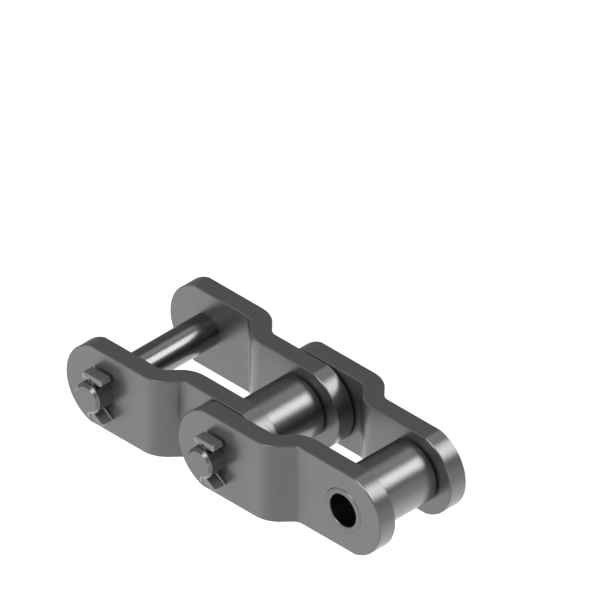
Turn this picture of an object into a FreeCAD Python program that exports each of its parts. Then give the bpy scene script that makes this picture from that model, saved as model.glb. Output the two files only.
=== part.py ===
import FreeCAD, Part
import math
import os

from FreeCAD import Vector

# Heavy offset sidebar roller chain, a sample of two complete links.
# Every link has two joggled sidebars. At its wide end they carry a headed pin, held by a
# tee headed cotter, and at its narrow end a pressed bushing with a free roller.
# The narrow end of link a fits between the sidebars of link b, on the pin of link b.
# Frame: millimetres, +X along the straight chain from the wide end to the narrow end,
# +Y across it and +Z up. The origin is the middle of the open bushing of link b.
# The near side is -Y, where the cotters are, and the far side is +Y, where the pin heads are.

# Chain
pitch = 103.45
inside_width = 50.8
link_names = ("a", "b")

# Sidebars
sidebar_height = 60.3
sidebar_thickness = 14.3
side_gap = 1.0
joggle_angle = 47.0
joggle_inner_radius = 8.0
pin_end_reach = 33.1
pin_end_round_extra = 1.35
bushing_end_reach = 34.3
bushing_end_round_extra = 0.85
sidebar_edge_break = 0.6

# Pin
pin_diameter = 23.8
pin_near_diameter = 22.2
pin_overhang = 14.6
pin_tip_chamfer = 2.0
pin_head_diameter = 34.0
pin_head_thickness = 7.5
pin_head_chamfer = 1.5
lock_seat_diameter = 26.4
lock_flat_margin = 0.3

# Bushing
bushing_diameter = 32.7
bushing_end_stand = 0.4
bushing_bore_chamfer = 0.45
bushing_end_chamfer = 0.5
pin_running_clearance = 0.08

# Roller
roller_diameter = 45.2
roller_side_clearance = 0.6
roller_running_clearance = 0.08
roller_edge_chamfer = 1.2

# Cotter, its half towards +X first where there are two values
cotter_wire_width = 9.5
cotter_wire_thickness = 2.4
cotter_slit = 0.3
cotter_hole_clearance = 0.2
cotter_inset = 5.8
cotter_arm_reaches = (10.0, 8.5)
cotter_head_slot = 0.3
cotter_head_stand = 0.2
cotter_bend_allowance = 1.5
cotter_leg_angles = (58.0, 10.0)
cotter_leg_lengths = (9.0, 5.0)

# Places worked out from the sizes above
half_height = sidebar_height / 2
inner_face_narrow = inside_width / 2
outer_face_narrow = inner_face_narrow + sidebar_thickness
inner_face_wide = outer_face_narrow + side_gap
outer_face_wide = inner_face_wide + sidebar_thickness
pin_radius = pin_diameter / 2
near_radius = pin_near_diameter / 2
bushing_radius = bushing_diameter / 2
cotter_place = -outer_face_wide - cotter_inset
cotter_hole_radius = math.hypot(cotter_wire_width, cotter_slit) / 2 + cotter_hole_clearance


def closed_face(edges):
    """One flat face inside a closed loop of edges, given in order."""
    return Part.Face(Part.Wire(edges))


def line(start, end):
    """A straight edge."""
    return Part.LineSegment(start, end).toShape()


def arc(start, middle, end):
    """A circular edge through three points."""
    return Part.Arc(start, middle, end).toShape()


def cylinder_across(radius, low_y, high_y, x=0.0):
    """A cylinder along Y between two planes."""
    return Part.makeCylinder(radius, high_y - low_y, Vector(x, low_y, 0), Vector(0, 1, 0))


def turned(points):
    """A body turned about the Y axis from its half section, given as (radius, y) pairs."""
    corners = [Vector(radius, y, 0) for radius, y in points]
    edges = [line(start, end) for start, end in zip(corners, corners[1:] + corners[:1])]
    return closed_face(edges).revolve(Vector(0, 0, 0), Vector(0, 1, 0), 360)


def joggle_face(stand_out):
    """Edges in plan of one face of the far sidebar, from the wide end to the narrow end.

    stand_out is the distance of the face from the middle of the plate, outwards positive.
    The plate bends by the joggle angle on a middle radius, runs straight, and bends back,
    so both bends together make up the step from the wide place to the narrow one.
    """
    angle = math.radians(joggle_angle)
    middle_radius = joggle_inner_radius + sidebar_thickness / 2
    step = sidebar_thickness + side_gap
    ramp = (step - 2 * middle_radius * (1 - math.cos(angle))) / math.sin(angle)
    half_run = middle_radius * math.sin(angle) + ramp * math.cos(angle) / 2
    wide_y = inner_face_wide + sidebar_thickness / 2
    narrow_y = inner_face_narrow + sidebar_thickness / 2
    first_centre = Vector(pitch / 2 - half_run, wide_y - middle_radius, 0)
    second_centre = Vector(pitch / 2 + half_run, narrow_y + middle_radius, 0)

    def on_first(turn):
        return first_centre + Vector(math.sin(turn), math.cos(turn), 0) * (middle_radius + stand_out)

    def on_second(turn):
        return second_centre - Vector(math.sin(turn), math.cos(turn), 0) * (middle_radius - stand_out)

    blank_start = Vector(-pin_end_reach - sidebar_thickness, wide_y + stand_out, 0)
    blank_end = Vector(pitch + bushing_end_reach + sidebar_thickness, narrow_y + stand_out, 0)
    return [
        line(blank_start, on_first(0)),
        arc(on_first(0), on_first(angle / 2), on_first(angle)),
        line(on_first(angle), on_second(angle)),
        arc(on_second(angle), on_second(angle / 2), on_second(0)),
        line(on_second(0), blank_end),
    ]


def side_outline():
    """The sidebar seen from the side: two straight edges and two rounded ends."""
    pin_round = half_height + pin_end_round_extra
    bushing_round = half_height + bushing_end_round_extra
    pin_centre = -pin_end_reach + pin_round
    bushing_centre = pitch + bushing_end_reach - bushing_round
    pin_corner = pin_centre - math.sqrt(pin_round ** 2 - half_height ** 2)
    bushing_corner = bushing_centre + math.sqrt(bushing_round ** 2 - half_height ** 2)
    top_left = Vector(pin_corner, 0, half_height)
    top_right = Vector(bushing_corner, 0, half_height)
    low_right = Vector(bushing_corner, 0, -half_height)
    low_left = Vector(pin_corner, 0, -half_height)
    return closed_face([
        line(top_left, top_right),
        arc(top_right, Vector(pitch + bushing_end_reach, 0, 0), low_right),
        line(low_right, low_left),
        arc(low_left, Vector(-pin_end_reach, 0, 0), top_left),
    ])


def lock_seat(low_y, high_y):
    """The double D section on which the pin is locked against turning, as a solid."""
    seat = cylinder_across(lock_seat_diameter / 2, low_y, high_y)
    half_flat = pin_radius + lock_flat_margin
    slab = Part.makeBox(
        lock_seat_diameter, high_y - low_y, 2 * half_flat,
        Vector(-lock_seat_diameter / 2, low_y, -half_flat),
    )
    return seat.common(slab)


def plain_sidebar():
    """The far sidebar with its outline and its bushing hole, before its pin hole."""
    outer = joggle_face(sidebar_thickness / 2)
    inner = joggle_face(-sidebar_thickness / 2)
    ends = [
        line(outer[0].Vertexes[0].Point, inner[0].Vertexes[0].Point),
        line(outer[-1].Vertexes[-1].Point, inner[-1].Vertexes[-1].Point),
    ]
    plan = Part.Face(Part.Wire(Part.__sortEdges__(outer + inner + ends)))
    plan.translate(Vector(0, 0, -half_height))
    bent_plate = plan.extrude(Vector(0, 0, sidebar_height))
    blank = side_outline().extrude(Vector(0, outer_face_wide + sidebar_thickness, 0))
    plate = bent_plate.common(blank)
    plate = plate.makeChamfer(sidebar_edge_break, plate.Edges)
    hole = cylinder_across(bushing_radius, 0, outer_face_wide, pitch)
    return plate.cut(hole)


def far_sidebar():
    """The sidebar under the pin head, with the double D hole that locks the pin."""
    return plain_sidebar().cut(lock_seat(0, outer_face_wide + sidebar_thickness))


def near_sidebar():
    """The sidebar on the cotter side, the other hand of the far one, with a round pin hole."""
    plate = plain_sidebar().cut(cylinder_across(near_radius, 0, outer_face_wide + sidebar_thickness))
    return plate.mirror(Vector(0, 0, 0), Vector(0, 1, 0))


def chain_pin():
    """The headed pin: head, locking seat, shank, smaller near seat, chamfered tip, cotter hole."""
    tip = -outer_face_wide - pin_overhang
    head_top = outer_face_wide + pin_head_thickness
    head_radius = pin_head_diameter / 2
    shank = turned([
        (0, tip),
        (near_radius - pin_tip_chamfer, tip),
        (near_radius, tip + pin_tip_chamfer),
        (near_radius, -inner_face_wide),
        (pin_radius, -inner_face_wide),
        (pin_radius, outer_face_wide),
        (head_radius, outer_face_wide),
        (head_radius, head_top - pin_head_chamfer),
        (head_radius - pin_head_chamfer, head_top),
        (0, head_top),
    ])
    pin = shank.fuse(lock_seat(inner_face_wide, outer_face_wide)).removeSplitter()
    hole = Part.makeCylinder(
        cotter_hole_radius, 2 * pin_diameter, Vector(0, cotter_place, -pin_diameter), Vector(0, 0, 1)
    )
    return pin.cut(hole)


def bushing():
    """The pressed bushing, its bore bell mouthed at both ends, at the narrow end."""
    half_length = outer_face_narrow + bushing_end_stand
    bore = pin_radius + pin_running_clearance
    sleeve = turned([
        (bore + bushing_bore_chamfer, -half_length),
        (bushing_radius - bushing_end_chamfer, -half_length),
        (bushing_radius, -half_length + bushing_end_chamfer),
        (bushing_radius, half_length - bushing_end_chamfer),
        (bushing_radius - bushing_end_chamfer, half_length),
        (bore + bushing_bore_chamfer, half_length),
        (bore, half_length - bushing_bore_chamfer),
        (bore, -half_length + bushing_bore_chamfer),
    ])
    sleeve.translate(Vector(pitch, 0, 0))
    return sleeve


def roller():
    """The free roller on the bushing, with side clearance to both sidebars."""
    half_length = inner_face_narrow - roller_side_clearance
    bore = bushing_radius + roller_running_clearance
    outside = roller_diameter / 2
    ring = turned([
        (bore, -half_length),
        (outside - roller_edge_chamfer, -half_length),
        (outside, -half_length + roller_edge_chamfer),
        (outside, half_length - roller_edge_chamfer),
        (outside - roller_edge_chamfer, half_length),
        (bore, half_length),
    ])
    ring.translate(Vector(pitch, 0, 0))
    return ring


def cotter_half(half):
    """Edges of the flat inner line of one half of the cotter, from its leg end to its head.

    half is 0 for the half towards +X and 1 for the other. The flat wire lies outside this
    line. It comes up the leg, through the pin, turns out across the pin into one arm of
    the tee and folds back over itself.
    """
    side = 1 - 2 * half
    flat = cotter_slit / 2
    leg_turn = math.radians(cotter_leg_angles[half])
    leg_bend = cotter_wire_thickness + cotter_bend_allowance
    neck_bend = cotter_wire_thickness + cotter_head_stand
    fold = cotter_head_slot / 2
    arm_end = cotter_arm_reaches[half] - cotter_wire_thickness - fold
    leg_start = -near_radius - cotter_head_stand
    neck_start = near_radius

    def point(x, z):
        return Vector(side * x, cotter_place, z)

    def on_leg_bend(turn):
        return point(flat + leg_bend * (1 - math.cos(turn)), leg_start - leg_bend * math.sin(turn))

    def on_neck_bend(turn):
        return point(flat + neck_bend * (1 - math.cos(turn)), neck_start + neck_bend * math.sin(turn))

    bend_end = on_leg_bend(leg_turn)
    leg_way = Vector(side * math.sin(leg_turn), 0, -math.cos(leg_turn))
    arm_z = neck_start + neck_bend
    return [
        line(bend_end + leg_way * cotter_leg_lengths[half], bend_end),
        arc(bend_end, on_leg_bend(leg_turn / 2), on_leg_bend(0)),
        line(on_leg_bend(0), on_neck_bend(0)),
        arc(on_neck_bend(0), on_neck_bend(math.pi / 4), on_neck_bend(math.pi / 2)),
        line(on_neck_bend(math.pi / 2), point(arm_end, arm_z)),
        arc(point(arm_end, arm_z), point(arm_end + fold, arm_z + fold), point(arm_end, arm_z + 2 * fold)),
    ]


def cotter():
    """The tee headed cotter, one flat wire folded over and swept along its inner line.

    The wire is a half round one with its back rolled flat, so its edges are arcs that fit the hole.
    """
    first = cotter_half(0)
    second = cotter_half(1)
    bridge = line(first[-1].Vertexes[-1].Point, second[-1].Vertexes[-1].Point)
    path = Part.Wire(Part.__sortEdges__(first + [bridge] + second))
    start = first[0].Vertexes[0].Point
    leg_turn = math.radians(cotter_leg_angles[0])
    outwards = Vector(math.cos(leg_turn), 0, math.sin(leg_turn))
    half_width = cotter_wire_width / 2
    edge_turn = math.asin(cotter_wire_thickness / half_width)

    def on_edge(side, turn):
        across = Vector(0, side * math.cos(turn), 0)
        return start + (across + outwards * math.sin(turn)) * half_width

    section = Part.Wire([
        line(on_edge(-1, 0), on_edge(1, 0)),
        arc(on_edge(1, 0), on_edge(1, edge_turn / 2), on_edge(1, edge_turn)),
        line(on_edge(1, edge_turn), on_edge(-1, edge_turn)),
        arc(on_edge(-1, edge_turn), on_edge(-1, edge_turn / 2), on_edge(-1, 0)),
    ])
    return path.makePipeShell([section], True, False)


def build_link(name, start):
    """All pieces of one link, its pin axis at x = start, as a table of node names."""
    pieces = {
        "near_sidebar_" + name: near_sidebar(),
        "far_sidebar_" + name: far_sidebar(),
        "pin_" + name: chain_pin(),
        "cotter_" + name: cotter(),
        "bushing_" + name: bushing(),
        "roller_" + name: roller(),
    }
    for shape in pieces.values():
        shape.translate(Vector(start, 0, 0))
    return pieces


def main():
    """Build both links and write one file for each piece."""
    os.makedirs("parts", exist_ok=True)
    for place, name in enumerate(link_names):
        start = (place - len(link_names)) * pitch
        for node, shape in build_link(name, start).items():
            shape.exportStep(os.path.join("parts", node + ".step"))
            print(node, "valid", shape.isValid(), "solids", len(shape.Solids), "volume", round(shape.Volume))


main()
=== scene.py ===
import bpy
import numpy as np
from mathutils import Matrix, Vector


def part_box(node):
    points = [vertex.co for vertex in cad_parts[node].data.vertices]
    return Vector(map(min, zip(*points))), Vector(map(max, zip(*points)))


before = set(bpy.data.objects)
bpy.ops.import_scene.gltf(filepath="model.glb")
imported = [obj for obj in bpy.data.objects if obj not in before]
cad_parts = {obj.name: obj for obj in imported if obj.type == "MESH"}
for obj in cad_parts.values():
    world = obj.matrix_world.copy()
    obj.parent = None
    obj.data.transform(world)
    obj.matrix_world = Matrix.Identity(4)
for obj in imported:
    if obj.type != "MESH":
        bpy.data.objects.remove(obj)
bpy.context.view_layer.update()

# A heavy offset sidebar roller chain, seen in true isometric in a white studio.
# Lengths are metres in the part's own frame: +X along the chain, +Y across it, +Z up.

MILLIMETRE = 0.001

# View: the photograph is a true isometric one, square to no face and with no perspective
PHOTO_PIXELS = 600
PIXELS_PER_METRE = 1535.5
ISOMETRIC = Vector((1.0, -1.0, 1.0)).normalized()
PIN_AXIS_PIXEL = (161.5, 355.8)
CAMERA_DISTANCE = 2.0

# Places read from the frame: the first pin, and how far link b reaches from its hinge
pin_low, pin_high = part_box("pin_a")
PIN_AXIS = Vector(((pin_low.x + pin_high.x) / 2, 0.0, 0.0))
hinge_low, hinge_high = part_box("pin_b")
LINK_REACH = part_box("near_sidebar_b")[1].x - (hinge_low.x + hinge_high.x) / 2

# Floor: it lies just below link b where the hinge lets it hang straight down, and its glow
# for the camera and the light on it come to white together
FLOOR_GAP = 2.0 * MILLIMETRE
FLOOR_Z = -LINK_REACH - FLOOR_GAP
FLOOR_HALF_WIDTH = 6.0
FLOOR_GLOW = 0.86

# Surfaces: the size of the soft clouds in the tone, how much the gloss varies either way, and
# the part of the noise's range that it varies over
CLOUD_MM = 22.0
GLOSS_SPREAD = 0.015
NOISE_LOW, NOISE_HIGH = 0.3, 0.7

# The studio that the metal mirrors, where white is 1. Each fade runs along one direction, from
# a place on it to another, where 1 is straight that way and -1 straight away from it. It gives
# a level at each of the two places and holds it beyond them.
CEILING_LEVEL = 0.21
STUDIO_FADES = {
    # name: (kind, direction, (place, level) at the start, (place, level) at the end)
    "ceiling": ("SMOOTHSTEP", (0.0, 1.0, 0.0), (0.35, CEILING_LEVEL), (-0.2, 0.40)),
    "horizon_share": ("SMOOTHSTEP", (0.0, 0.0, 1.0), (0.4, 0.0), (0.0, 1.0)),
    "right_glow": ("LINEAR", (1.0, 0.0, 0.0), (-0.75, 0.0), (0.75, 0.45)),
    "floor": ("SMOOTHSTEP", (0.75, -0.66, 0.0), (0.1, 1.05), (0.8, 0.68)),
    "under_back_gain": ("SMOOTHSTEP", (0.0, 0.5, -0.87), (0.6, 1.0), (1.0, 1.22)),
    "floor_share": ("SMOOTHSTEP", (0.0, 0.0, 1.0), (-0.2, 0.0), (-0.58, 1.0)),
}

# Softboxes, which face the middle of the chain
SOFTBOXES = {
    # name: (direction from the chain, distance, (width, height), watts, mirrored by the metal)
    "streak_softbox": ((0.475, 0.58, 0.66), 2.4, (1.1, 1.1), 15.0, True),
    "overhead_softbox": ((-0.15, 0.58, 0.80), 2.4, (1.1, 1.1), 2.4, True),
    "small_front_softbox": ((0.06, -0.78, 0.62), 1.5, (0.5, 0.5), 2.4, True),
    "front_left_softbox": ((-0.75, -0.6, 0.28), 1.6, (1.4, 0.8), 16.0, False),
}


def linear(hex_colour):
    """An sRGB hex value as linear red, green, blue and alpha."""
    channels = [int(hex_colour[i:i + 2], 16) / 255 for i in (1, 3, 5)]
    return [c / 12.92 if c <= 0.04045 else ((c + 0.055) / 1.055) ** 2.4 for c in channels] + [1.0]


WHITE = linear("#FFFFFF")


def add_node(tree, kind, settings=None, links=None):
    """Adds one node, sets its properties and input values, and links its inputs."""
    node = tree.nodes.new(kind)
    for name, value in (settings or {}).items():
        if isinstance(name, int) or name in node.inputs:
            node.inputs[name].default_value = value
        else:
            setattr(node, name, value)
    for name, source in (links or {}).items():
        tree.links.new(source, node.inputs[name])
    return node


def new_material(name):
    """An empty node material and its tree."""
    material = bpy.data.materials.new(name)
    material.use_nodes = True
    material.node_tree.nodes.clear()
    return material, material.node_tree


def stretched_noise(tree, size_mm, detail):
    """Noise on Object coordinates, with a grain size along X, Y and Z in millimetres."""
    place = add_node(tree, "ShaderNodeTexCoord")
    scale = [1.0 / (size * MILLIMETRE) for size in size_mm]
    mapping = add_node(tree, "ShaderNodeMapping", {"Scale": scale}, {"Vector": place.outputs["Object"]})
    return add_node(
        tree, "ShaderNodeTexNoise", {"Scale": 1.0, "Detail": detail},
        {"Vector": mapping.outputs["Vector"]},
    )


def steel(name, colour, dark_colour, metallic, roughness, grain_mm, bump_mm):
    """A bare metal surface: two tones in soft clouds, a grain, and a little uneven gloss.

    The real marks of blasting, grinding, turning and drawing are too fine to show, so each
    grain is drawn coarser, until it shows.
    """
    material, tree = new_material(name)
    cloud = stretched_noise(tree, (CLOUD_MM,) * 3, detail=2.0)
    grain = stretched_noise(tree, grain_mm, detail=3.0)
    tone = add_node(
        tree, "ShaderNodeMix", {"data_type": "RGBA", 6: linear(dark_colour), 7: linear(colour)},
        {0: cloud.outputs["Fac"]},
    )
    gloss = add_node(
        tree, "ShaderNodeMapRange",
        {"From Min": NOISE_LOW, "From Max": NOISE_HIGH,
         "To Min": roughness - GLOSS_SPREAD, "To Max": roughness + GLOSS_SPREAD},
        {"Value": grain.outputs["Fac"]},
    )
    bump = add_node(
        tree, "ShaderNodeBump", {"Strength": 1.0, "Distance": bump_mm * MILLIMETRE},
        {"Height": grain.outputs["Fac"]},
    )
    shader = add_node(
        tree, "ShaderNodeBsdfPrincipled", {"Metallic": metallic},
        {
            "Base Color": tone.outputs[2],
            "Roughness": gloss.outputs["Result"],
            "Normal": bump.outputs["Normal"],
        },
    )
    add_node(tree, "ShaderNodeOutputMaterial", None, {"Surface": shader.outputs["BSDF"]})
    return material


def blasted_plate_steel():
    """Hot rolled alloy plate, sheared, bent and bead blasted: an even satin grey, no direction."""
    return steel(
        "bead_blasted_plate_steel", "#888888", "#828282",
        metallic=0.8, roughness=0.29, grain_mm=(2.5, 2.5, 2.5), bump_mm=0.0008,
    )


def ground_pin_steel():
    """Hardened bar, turned and centreless ground: bright, with fine rings round the axis."""
    return steel(
        "centreless_ground_steel", "#868686", "#808080",
        metallic=1.0, roughness=0.24, grain_mm=(6.0, 0.7, 6.0), bump_mm=0.0004,
    )


def ground_roller_steel():
    """Case hardened and ground roller steel: like the pin, a little softer in its gloss."""
    return steel(
        "ground_roller_steel", "#8C8C8C", "#868686",
        metallic=1.0, roughness=0.31, grain_mm=(6.0, 0.8, 6.0), bump_mm=0.0004,
    )


def bored_bushing_steel():
    """Case hardened bushing, turned at the ends and honed in the bore: plain grey, not bright."""
    return steel(
        "case_hardened_bushing_steel", "#868686", "#7E7E7E",
        metallic=1.0, roughness=0.30, grain_mm=(4.0, 0.6, 4.0), bump_mm=0.001,
    )


def drawn_cotter_wire():
    """Low carbon wire, drawn, rolled flat and folded cold: paler and duller than the ground steel."""
    return steel(
        "drawn_cotter_wire", "#B8B8B8", "#A4A4A4",
        metallic=0.8, roughness=0.38, grain_mm=(0.8, 2.5, 0.8), bump_mm=0.003,
    )


def dress_nodes():
    """Gives every node of the chain the finish of its own kind of piece."""
    finishes = {
        "near_sidebar": blasted_plate_steel(),
        "pin": ground_pin_steel(),
        "roller": ground_roller_steel(),
        "bushing": bored_bushing_steel(),
        "cotter": drawn_cotter_wire(),
    }
    finishes["far_sidebar"] = finishes["near_sidebar"]
    for name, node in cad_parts.items():
        node.data.materials.clear()
        node.data.materials.append(finishes[name.rsplit("_", 1)[0]])


def white_floor_paper():
    """Matt white paper, which glows to white for the camera alone and still takes a shadow."""
    material, tree = new_material("white_studio_floor")
    rays = add_node(tree, "ShaderNodeLightPath")
    glow = add_node(
        tree, "ShaderNodeMath", {"operation": "MULTIPLY", 1: FLOOR_GLOW},
        {0: rays.outputs["Is Camera Ray"]},
    )
    shader = add_node(
        tree, "ShaderNodeBsdfPrincipled",
        {"Base Color": linear("#C8C8C8"), "Roughness": 0.9, "Specular IOR Level": 0.0,
         "Emission Color": WHITE},
        {"Emission Strength": glow.outputs[0]},
    )
    add_node(tree, "ShaderNodeOutputMaterial", None, {"Surface": shader.outputs["BSDF"]})
    return material


def studio_floor():
    """A wide level square below the chain, which keeps its shadow.

    Each corner is a sign along X and one along Y times the half width, at the floor's height.
    The metal doesn't mirror this floor. It mirrors the world's own pale floor instead, which
    fades towards the horizon.
    """
    signs = np.array([(-1, -1), (1, -1), (1, 1), (-1, 1)])
    corners = np.column_stack((FLOOR_HALF_WIDTH * signs, np.full(len(signs), FLOOR_Z)))
    mesh = bpy.data.meshes.new("studio_floor")
    mesh.from_pydata(corners, [], [(0, 1, 2, 3)])
    mesh.materials.append(white_floor_paper())
    floor = bpy.data.objects.new("studio_floor", mesh)
    floor.visible_glossy = False
    bpy.context.scene.collection.objects.link(floor)


def mirrored_studio(tree):
    """Brightness of the studio in each direction, as the metal mirrors it.

    Above is a dim ceiling, lighter over the front, with a glow along the horizon that grows to
    the right. Below is a pale floor, duller to the front right and brighter under the back,
    which fades into the rest towards the horizon.
    """
    way = add_node(tree, "ShaderNodeTexCoord").outputs["Generated"]
    level = {}
    for name, (kind, direction, start, end) in STUDIO_FADES.items():
        along = add_node(
            tree, "ShaderNodeVectorMath", {"operation": "DOT_PRODUCT", 1: direction}, {0: way}
        )
        level[name] = add_node(
            tree, "ShaderNodeMapRange",
            {"interpolation_type": kind, "From Min": start[0], "From Max": end[0],
             "To Min": start[1], "To Max": end[1]},
            {"Value": along.outputs["Value"]},
        ).outputs["Result"]
    glow = add_node(
        tree, "ShaderNodeMath", {"operation": "MULTIPLY"},
        {0: level["horizon_share"], 1: level["right_glow"]},
    )
    above = add_node(
        tree, "ShaderNodeMath", {"operation": "ADD"}, {0: level["ceiling"], 1: glow.outputs[0]}
    )
    below = add_node(
        tree, "ShaderNodeMath", {"operation": "MULTIPLY"},
        {0: level["floor"], 1: level["under_back_gain"]},
    )
    return add_node(
        tree, "ShaderNodeMix", {"data_type": "FLOAT"},
        {0: level["floor_share"], 2: above.outputs[0], 3: below.outputs[0]},
    ).outputs[0]


def studio_world():
    """White to the camera, a studio for the metal to mirror, and a dim even light for the rest.

    Its brightness differs by kind of ray, so it isn't sampled as one lamp.
    """
    world = bpy.data.worlds.new("studio")
    bpy.context.scene.world = world
    world.cycles.sampling_method = "NONE"
    world.use_nodes = True
    tree = world.node_tree
    tree.nodes.clear()
    rays = add_node(tree, "ShaderNodeLightPath")
    mirror_rays = add_node(
        tree, "ShaderNodeMath", {"operation": "MAXIMUM"},
        {0: rays.outputs["Is Glossy Ray"], 1: rays.outputs["Is Transmission Ray"]},
    )
    dim = add_node(tree, "ShaderNodeBackground", {"Color": WHITE, "Strength": CEILING_LEVEL})
    mirrored = add_node(
        tree, "ShaderNodeBackground", {"Color": WHITE}, {"Strength": mirrored_studio(tree)}
    )
    white = add_node(tree, "ShaderNodeBackground", {"Color": WHITE, "Strength": 1.0})
    to_metal = add_node(
        tree, "ShaderNodeMixShader", None,
        {0: mirror_rays.outputs[0], 1: dim.outputs[0], 2: mirrored.outputs[0]},
    )
    to_camera = add_node(
        tree, "ShaderNodeMixShader", None,
        {0: rays.outputs["Is Camera Ray"], 1: to_metal.outputs[0], 2: white.outputs[0]},
    )
    add_node(tree, "ShaderNodeOutputWorld", None, {"Surface": to_camera.outputs[0]})


def studio_lights():
    """Softboxes round the chain, each facing its middle.

    The one behind draws the streak along pins and rollers, and the weak one overhead widens
    it. The small front one glints on the pin tips. The front left one fills in, unmirrored.
    """
    middle = Vector((PIN_AXIS.x / 2, 0.0, 0.0))
    for name, (direction, distance, (width, height), watts, mirrored) in SOFTBOXES.items():
        light = bpy.data.lights.new(name, "AREA")
        light.shape = "RECTANGLE"
        light.size = width
        light.size_y = height
        light.energy = watts
        lamp = bpy.data.objects.new(name, light)
        lamp.visible_glossy = mirrored
        bpy.context.scene.collection.objects.link(lamp)
        way = Vector(direction).normalized()
        lamp.location = middle + way * distance
        lamp.rotation_euler = way.to_track_quat("Z", "Y").to_euler()


def photograph_camera():
    """An orthographic camera along the isometric, with the first pin axis at its pixel."""
    data = bpy.data.cameras.new("camera")
    data.type = "ORTHO"
    data.ortho_scale = PHOTO_PIXELS / PIXELS_PER_METRE
    camera = bpy.data.objects.new("camera", data)
    bpy.context.scene.collection.objects.link(camera)
    camera.rotation_euler = ISOMETRIC.to_track_quat("Z", "Y").to_euler()
    turned = camera.rotation_euler.to_matrix()
    right, up = turned.col[0], turned.col[1]
    across = (PHOTO_PIXELS / 2 - PIN_AXIS_PIXEL[0]) / PIXELS_PER_METRE
    above = (PIN_AXIS_PIXEL[1] - PHOTO_PIXELS / 2) / PIXELS_PER_METRE
    camera.location = PIN_AXIS + right * across + up * above + ISOMETRIC * CAMERA_DISTANCE
    bpy.context.scene.camera = camera


dress_nodes()
studio_floor()
studio_world()
studio_lights()
photograph_camera()
bpy.context.scene.view_settings.view_transform = "Standard"
